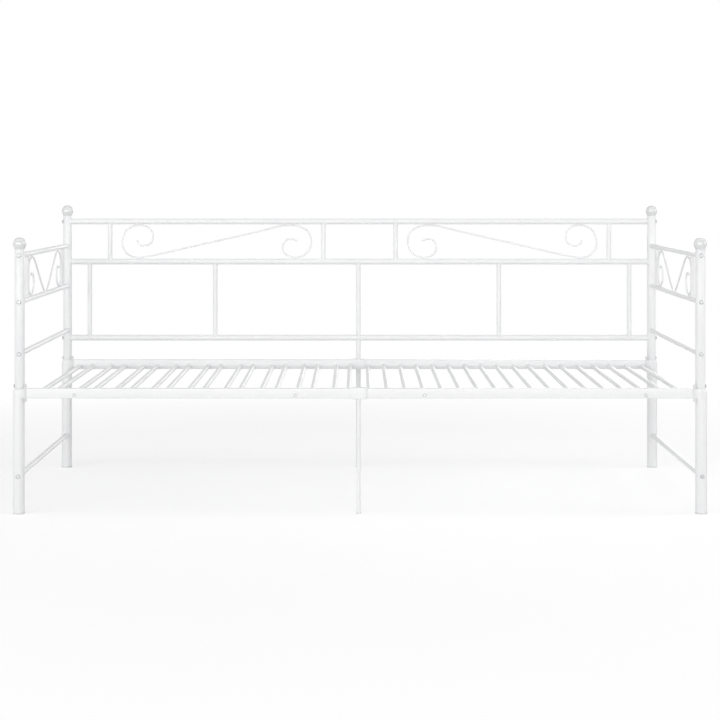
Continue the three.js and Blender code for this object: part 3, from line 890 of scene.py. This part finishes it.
def saddle(node, leg, sign, rail_top):
    """The bracket that wraps the inner half of a leg."""
    inner = leg.radius + FIT_GAP
    rail_foot = rail_top - RAIL_HEIGHT
    low = rail_foot - SADDLE_OVERHANG
    high = rail_top + SADDLE_OVERHANG
    foot = at_height(leg.centre, low)
    head = at_height(leg.centre, high)
    piece = cylinder(f"{node}_saddle", foot, head, inner + SADDLE_THICKNESS, SADDLE_FACETS)
    pick_runs(piece, lambda run: abs(run.z) < FACING_COSINE)
    round_picked(piece, SADDLE_ROUNDING, CORNER_STEPS)
    bore = cylinder("saddle_bore", foot - Z * OVERRUN, head + Z * OVERRUN, inner, SADDLE_FACETS)
    cut_by(piece, bore)
    cut_back_flange(piece, leg, sign, low - OVERRUN, rail_foot)
    cut_back_flange(piece, leg, sign, rail_top, high + OVERRUN)
    edge_place = leg.centre - X * (sign * SADDLE_REACH)
    with editing(piece):
        bpy.ops.mesh.select_all(action="SELECT")
        bpy.ops.mesh.bisect(plane_co=edge_place, plane_no=X * sign, use_fill=True, clear_outer=True)
    round_edges(piece, SADDLE_EDGE, SADDLE_EDGE_STEPS, SADDLE_EDGE_ANGLE)
    deliver(piece, "white_paint", node)


def rail_body(node, sign, inner_x, nose_x, centre, weld_x):
    """A box tube with rounded corners, open in the middle of the bed and tapered at the post."""
    low = Vector((min(inner_x, nose_x), centre.y - RAIL_DEPTH / 2, centre.z - RAIL_HEIGHT / 2))
    high = Vector((max(inner_x, nose_x), centre.y + RAIL_DEPTH / 2, centre.z + RAIL_HEIGHT / 2))
    piece = box(f"{node}_tube", low, high)
    round_long_edges(piece, X, RAIL_CORNER)
    pick_faces(piece, lambda place, normal: normal.x * sign > FACING_COSINE)
    nose_end = Vector((nose_x + sign * NOSE_LENGTH, centre.y, centre.z))
    taper = (1, NOSE_DEPTH / RAIL_DEPTH, NOSE_HEIGHT / RAIL_HEIGHT)
    with editing(piece):
        extrude(sign * NOSE_LENGTH, 0, 0)
        bpy.ops.transform.resize(value=taper, center_override=nose_end)
        extrude(weld_x - nose_end.x, 0, 0)
    pick_faces(piece, lambda place, normal: normal.x * sign < -FACING_COSINE)
    with editing(piece):
        bpy.ops.mesh.inset(thickness=RAIL_TUBE_WALL)
        extrude(sign * SPIGOT_REACH, 0, 0)
    deliver(piece, "white_paint", node)


def rail_spigot(node, sleeve_x, inner_x, centre):
    """The plug in the right rail's end, which reaches into the left rail."""
    rim = RAIL_TUBE_WALL + FIT_GAP
    half_depth = RAIL_DEPTH / 2 - rim
    half_height = RAIL_HEIGHT / 2 - rim
    low = Vector((sleeve_x, centre.y - half_depth, centre.z - half_height))
    high = Vector((inner_x + SPIGOT_REACH / 2, centre.y + half_depth, centre.z + half_height))
    spigot = box_tube(f"{node}_spigot", low, high, RAIL_TUBE_WALL, SPIGOT_WALL)
    deliver(spigot, "white_paint", node)


def bed_rail(side, end, seam_bead):
    """Half of a bed rail with its saddle, and on the right its spigot."""
    node = f"bed_rail_{side}_{end}"
    sign = ENDS[end]
    leg = Bar(f"leg_{side}_{end}", Z)
    rail_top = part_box(f"leg_{side}_{end}")[1].z
    sleeve_low, sleeve_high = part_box(f"centre_sleeve_{side}")
    inner_x = sleeve_high.x - FIT_GAP
    if end == "right":
        inner_x = sleeve_high.x + SLEEVE_SEAM
    saddle_x = leg.centre.x - sign * (leg.radius + FIT_GAP + SADDLE_THICKNESS)
    nose_x = saddle_x - sign * NOSE_LENGTH
    weld_x = saddle_x + sign * SADDLE_THICKNESS / 2
    centre = Vector((0, leg.centre.y, rail_top - RAIL_HEIGHT / 2))
    rail_body(node, sign, inner_x, nose_x, centre, weld_x)
    saddle(node, leg, sign, rail_top)
    weld(seam_bead, f"{node}_weld", Vector((saddle_x, leg.centre.y, centre.z)), -X * sign, Z)
    if end == "right":
        rail_spigot(node, sleeve_low.x, inner_x, centre)


# Joint in the middle

def centre_joint(side, bead):
    """The sleeve that joins two rails, and the leg under it."""
    node = f"centre_sleeve_{side}"
    low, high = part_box(node)
    sleeve = box_tube(f"{node}_tube", low, high, SLEEVE_CORNER, SLEEVE_WALL)
    deliver(sleeve, "white_paint", node)
    leg = f"centre_leg_{side}"
    low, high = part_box(leg)
    centre = middle(leg)
    head = at_height(centre, high.z)
    piece = tube(f"{leg}_tube", at_height(centre, low.z), head, half(leg).x, RAIL_WALL)
    deliver(piece, "white_paint", leg)
    weld(bead, f"{leg}_weld", head, -Z, X)
    tube_cap(f"centre_leg_cap_{side}", CENTRE_CAP_HEIGHT, CENTRE_CAP_ROUNDING)


# Slat grids

def slat_places(end):
    """Where a grid starts and stops, and its slats: in pairs on the left, in even steps on the right."""
    outer_x = Bar(f"leg_front_{end}", Z).centre.x
    sleeve_low, sleeve_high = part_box("centre_sleeve_front")
    if end == "left":
        start = outer_x + GRID_OUTER_INSET
        stop = sleeve_low.x - FIT_GAP
        first = start + LEFT_OUTER_INSET
        pairs = SLATS_PER_GRID // 2
        pitch = (stop - LEFT_INNER_INSET - PAIR_GAP - first) / (pairs - 1)
        places = [first + i * pitch + gap for i in range(pairs) for gap in (0, PAIR_GAP)]
        return start, stop, places
    start = sleeve_high.x + FIT_GAP
    stop = outer_x - GRID_OUTER_INSET
    first = start + RIGHT_INNER_INSET
    pitch = (stop - RIGHT_OUTER_INSET - first) / (SLATS_PER_GRID - 1)
    return start, stop, [first + i * pitch for i in range(SLATS_PER_GRID)]


def slat_model():
    tip = Y * (half("slat_grid_left").y - BAR_THICKNESS / 2)
    return tube("slat_model", -tip, tip, SLAT_RADIUS, SLAT_WALL, SLAT_FACETS)


def grid_bar(node, side, start, stop):
    """The flat bar that the slats' ends are welded to."""
    low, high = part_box(node)
    outer_y = SIDES[side] * half(node).y
    inner_y = outer_y - SIDES[side] * BAR_THICKNESS
    near = Vector((start, min(outer_y, inner_y), low.z))
    far = Vector((stop, max(outer_y, inner_y), high.z))
    bar = box(f"{node}_{side}_bar", near, far)
    round_edges(bar, BAR_EDGE, BAR_EDGE_STEPS)
    deliver(bar, "white_paint", node)


def slat_grid(end, model, bead):
    """Two bars with slats between them, each slat welded at both ends."""
    node = f"slat_grid_{end}"
    start, stop, places = slat_places(end)
    slat_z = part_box(f"leg_front_{end}")[1].z - SLAT_DROP
    for side in SIDES:
        grid_bar(node, side, start, stop)
    welds = []
    for i, x in enumerate(places, 1):
        slat = placed_copy(model, f"{node}_slat_{i}", Vector((x, 0, slat_z)), Z, X)
        deliver(slat, "white_paint", node)
        for sign in SIDES.values():
            spot = Vector((x, sign * (half(node).y - BAR_THICKNESS), slat_z))
            welds.append(placed_copy(bead, f"{node}_weld", spot, -Y * sign, Z))
    deliver_weld(joined(welds, f"{node}_welds"))


# Fasteners, modelled with the head's underside on z = 0 and the head on +Z

def hexagon_socket(piece, start, end, radius):
    cut_by(piece, cylinder("socket", Z * start, Z * end, radius, SOCKET_SIDES))


def bolt_model(name, radius, height, dome):
    """A domed head with a hexagon socket, on its shank."""
    piece = cylinder(name, Vector(), Z * height, radius, BOLT_FACETS)
    pick_edges(piece, lambda place: place.z > height - SAME_PLACE)
    round_picked(piece, dome, DOME_STEPS)
    hexagon_socket(piece, height * (1 - SOCKET_DEPTH_SHARE), height + OVERRUN, SOCKET_RADIUS)
    pick_faces(piece, lambda place, normal: normal.z < -FACING_COSINE and place.z < SAME_PLACE)
    with editing(piece):
        bpy.ops.mesh.inset(thickness=radius - SHANK_RADIUS)
        extrude(0, 0, -SHANK_LENGTH)
    round_edges(piece, BOLT_EDGE, angle=BOLT_EDGE_ANGLE)
    return piece


def bolt_end_model(name):
    """The end of a bolt, just proud of its threaded hole."""
    piece = cylinder(name, Z * -END_LENGTH, Z * END_RISE, SHANK_RADIUS, BOLT_FACETS)
    round_edges(piece, BOLT_EDGE, angle=BOLT_EDGE_ANGLE)
    return piece


def grub_screw_model(name):
    """A headless screw with a hexagon socket."""
    piece = bolt_end_model(name)
    hexagon_socket(piece, END_RISE - GRUB_SOCKET_DEPTH, OVERRUN, GRUB_SOCKET_RADIUS)
    return piece


def fastener_models():
    return {
        "bolt": bolt_model("bolt_model", BOLT_HEAD_RADIUS, BOLT_HEAD_HEIGHT, BOLT_DOME),
        "grid_bolt": bolt_model("grid_bolt_model", GRID_HEAD_RADIUS, LOW_HEAD_HEIGHT, LOW_HEAD_DOME),
        "corner_bolt": bolt_model("corner_bolt_model", CORNER_HEAD_RADIUS, LOW_HEAD_HEIGHT, LOW_HEAD_DOME),
        "bolt_end": bolt_end_model("bolt_end_model"),
        "grub_screw": grub_screw_model("grub_screw_model"),
    }


def fasten(models, kind, name, place, out):
    deliver(placed_copy(models[kind], f"{name}_{kind}", place, out, Z), "zinc")


def post_bolts(models, end, side):
    """Bolts into the end rails along the depth, and at the back into the back rails along the length."""
    corner = f"{side}_{end}"
    post = Bar(f"post_{corner}", Z)
    leg = Bar(f"leg_{corner}", Z)
    levels = {"top_rail": post, "middle_rail": post, "lower_rail": post, "stretcher": leg}
    out = Y * SIDES[side]
    for level, upright in levels.items():
        seat = upright.crest(middle(f"end_{level}_{end}"), out)
        fasten(models, "bolt", f"bolt_{level}_{corner}", seat, out)
    if side == "back":
        out = X * ENDS[end]
        for level in ("top", "lower"):
            seat = post.crest(middle(f"back_{level}_rail"), out)
            fasten(models, "bolt", f"bolt_back_{level}_rail_{end}", seat, out)


def corner_bolts(models, end, side):
    """A long bolt from the outside of the post, and a grub screw below it, both into the saddle."""
    corner = f"{side}_{end}"
    sign = ENDS[end]
    post = Bar(f"post_{corner}", Z)
    leg = Bar(f"leg_{corner}", Z)
    rail_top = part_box(f"leg_{corner}")[1].z
    upper = rail_top + SADDLE_OVERHANG - UPPER_CORNER_BOLT
    lower = rail_top - RAIL_HEIGHT - SADDLE_OVERHANG + LOWER_CORNER_BOLT
    seat = post.crest(Vector((0, 0, upper)), X * sign)
    fasten(models, "corner_bolt", f"corner_bolt_{corner}", seat, X * sign)
    saddle_x = leg.centre.x - sign * (leg.radius + FIT_GAP + SADDLE_THICKNESS)
    for level, kind in ((upper, "bolt_end"), (lower, "grub_screw")):
        face = Vector((saddle_x, leg.centre.y, level))
        fasten(models, kind, f"corner_{corner}", face, -X * sign)


def grid_bolts(models, end, side):
    """Two bolts through the bed rail into the slat grid's bar."""
    sign = ENDS[end]
    side_sign = SIDES[side]
    leg_x = Bar(f"leg_{side}_{end}", Z).centre.x
    bolt_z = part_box(f"leg_{side}_{end}")[1].z - SLAT_DROP + GRID_BOLT_RISE
    face_y = middle(f"post_{side}_{end}").y + side_sign * RAIL_DEPTH / 2
    outer_x = leg_x - sign * (GRID_OUTER_INSET + GRID_BOLT_OUTER_INSET)
    for i, x in enumerate((outer_x, sign * GRID_BOLT_INNER_X), 1):
        seat = Vector((x, face_y, bolt_z))
        fasten(models, "grid_bolt", f"grid_bolt_{side}_{end}_{i}", seat, Y * side_sign)


# The whole bed

def build_bed():
    welds = weld_models()
    fasteners = fastener_models()
    slat = slat_model()
    for end in ENDS:
        for side in SIDES:
            corner = f"{side}_{end}"
            corner_post(corner)
            lower_leg(corner)
            tube_cap(f"foot_cap_{corner}", FOOT_HEIGHT, FOOT_ROUNDING)
            ball_finial(corner)
            post_bolts(fasteners, end, side)
            corner_bolts(fasteners, end, side)
            grid_bolts(fasteners, end, side)
    for end in ENDS:
        end_panel(end, welds["upright"], welds["tack"])
    back_panel(welds)
    for side in SIDES:
        for end in ENDS:
            bed_rail(side, end, welds["nose"])
    centre_joint("front", welds["front_leg"])
    centre_joint("back", welds["flat"])
    for end in ENDS:
        slat_grid(end, slat, welds["slat"])
    for model in (*welds.values(), *fasteners.values(), slat):
        bpy.data.objects.remove(model)


# Studio

def seen_by_lens(tree):
    """1 for the rays of the camera, of gloss and of glass, and 0 for the rays that light the bed."""
    ray = add_node(tree, "ShaderNodeLightPath").outputs
    seen = math_node(tree, "ADD", ray["Is Camera Ray"], ray["Is Glossy Ray"])
    seen = math_node(tree, "ADD", seen, ray["Is Transmission Ray"])
    return add_node(tree, "ShaderNodeClamp", {"Value": seen}).outputs[0]


def white_light(tree, kind, strength):
    return add_node(tree, kind, {"Color": WHITE, "Strength": strength}).outputs[0]


def mixed(tree, share, first, second):
    return add_node(tree, "ShaderNodeMixShader", {0: share, 1: first, 2: second}).outputs[0]


def floor_paper():
    """White paper: shaded under the bed, and a plain white to the lens further off."""
    material = finish(
        "studio_floor",
        tones=((0.9, 0.9, 0.9), (0.91, 0.91, 0.91)),
        grain_scale=30,
        drift_scale=0.7,
        shine=0.8,
        shine_range=0.05,
        relief=0.0001,
    )
    tree = material.node_tree
    paper = tree.nodes["Principled BSDF"].outputs["BSDF"]
    place = tree.nodes["Texture Coordinate"].outputs["Object"]
    away = add_node(tree, "ShaderNodeVectorMath", {0: place}, operation="LENGTH").outputs["Value"]
    fade_inputs = {"Value": away, "From Min": PAPER_FADE[0], "From Max": PAPER_FADE[1]}
    fade = add_node(tree, "ShaderNodeMapRange", fade_inputs).outputs["Result"]
    lift = white_light(tree, "ShaderNodeEmission", PAPER_LIFT)
    near = add_node(tree, "ShaderNodeAddShader", {0: paper, 1: lift}).outputs[0]
    plain = white_light(tree, "ShaderNodeEmission", PLAIN_WHITE)
    shown = mixed(tree, fade, near, plain)
    surface = tree.nodes["Material Output"].inputs["Surface"]
    tree.links.new(mixed(tree, seen_by_lens(tree), paper, shown), surface)
    return material


def studio_floor():
    bpy.ops.object.select_all(action="DESELECT")
    bpy.ops.mesh.primitive_plane_add(size=FLOOR_SIZE, location=(0, 0, 0))
    floor = named("floor")
    floor.data.materials.append(floor_paper())


def studio_world():
    """Soft light from all round, a little stronger from the left. The lens, gloss and glass see white."""
    world = bpy.data.worlds.new("studio")
    bpy.context.scene.world = world
    world.use_nodes = True
    tree = world.node_tree
    tree.nodes.clear()
    towards = add_node(tree, "ShaderNodeTexCoord").outputs["Generated"]
    rightwards = add_node(tree, "ShaderNodeSeparateXYZ", {"Vector": towards}).outputs["X"]
    slope = math_node(tree, "MULTIPLY", rightwards, FILL_SLOPE)
    fill = math_node(tree, "ADD", slope, FILL_LEVEL)
    lit = white_light(tree, "ShaderNodeBackground", fill)
    shown = white_light(tree, "ShaderNodeBackground", PLAIN_WHITE)
    add_node(tree, "ShaderNodeOutputWorld", {"Surface": mixed(tree, seen_by_lens(tree), lit, shown)})


def area_lamp(name, place, target, size, power):
    data = bpy.data.lights.new(name, "AREA")
    data.shape = "RECTANGLE"
    data.size, data.size_y = size
    data.energy = power
    lamp = bpy.data.objects.new(name, data)
    lamp.location = place
    lamp.rotation_euler = (Vector(target) - Vector(place)).to_track_quat("-Z", "Y").to_euler()
    bpy.context.scene.collection.objects.link(lamp)


def studio_lamps():
    """A broad soft light in front, with weaker ones on the right, above and behind."""
    area_lamp("front_softbox", place=(-4.0, -13.0, 2.2), target=(0, 0, 0.6), size=(24.0, 5.0), power=1190)
    area_lamp("right_softbox", place=(9.0, -2.0, 3.0), target=(0, 0, 0.5), size=(7.0, 5.0), power=190)
    area_lamp("top_strip", place=(0.2, -0.9, 4.3), target=(0, 0, 0.4), size=(10.0, 0.8), power=38)
    area_lamp("back_softbox", place=(2.4, 9.0, 1.9), target=(0, 0, 0.4), size=(3.4, 2.0), power=60)


def set_camera():
    """A level camera, shifted to put the photograph's vanishing point in its place."""
    data = bpy.data.cameras.new("camera")
    data.sensor_width = SENSOR_WIDTH
    data.lens = FOCAL_PIXELS / IMAGE_PIXELS * SENSOR_WIDTH
    data.shift_x = (IMAGE_PIXELS / 2 - VANISHING_PIXEL[0]) / IMAGE_PIXELS
    data.shift_y = (VANISHING_PIXEL[1] - IMAGE_PIXELS / 2) / IMAGE_PIXELS
    camera = bpy.data.objects.new("camera", data)
    camera.location = CAMERA_PLACE
    camera.rotation_euler = (math.pi / 2, 0, 0)
    bpy.context.scene.collection.objects.link(camera)
    bpy.context.scene.camera = camera


build_bed()
studio_floor()
studio_world()
studio_lamps()
set_camera()
bpy.context.scene.view_settings.view_transform = "Standard"
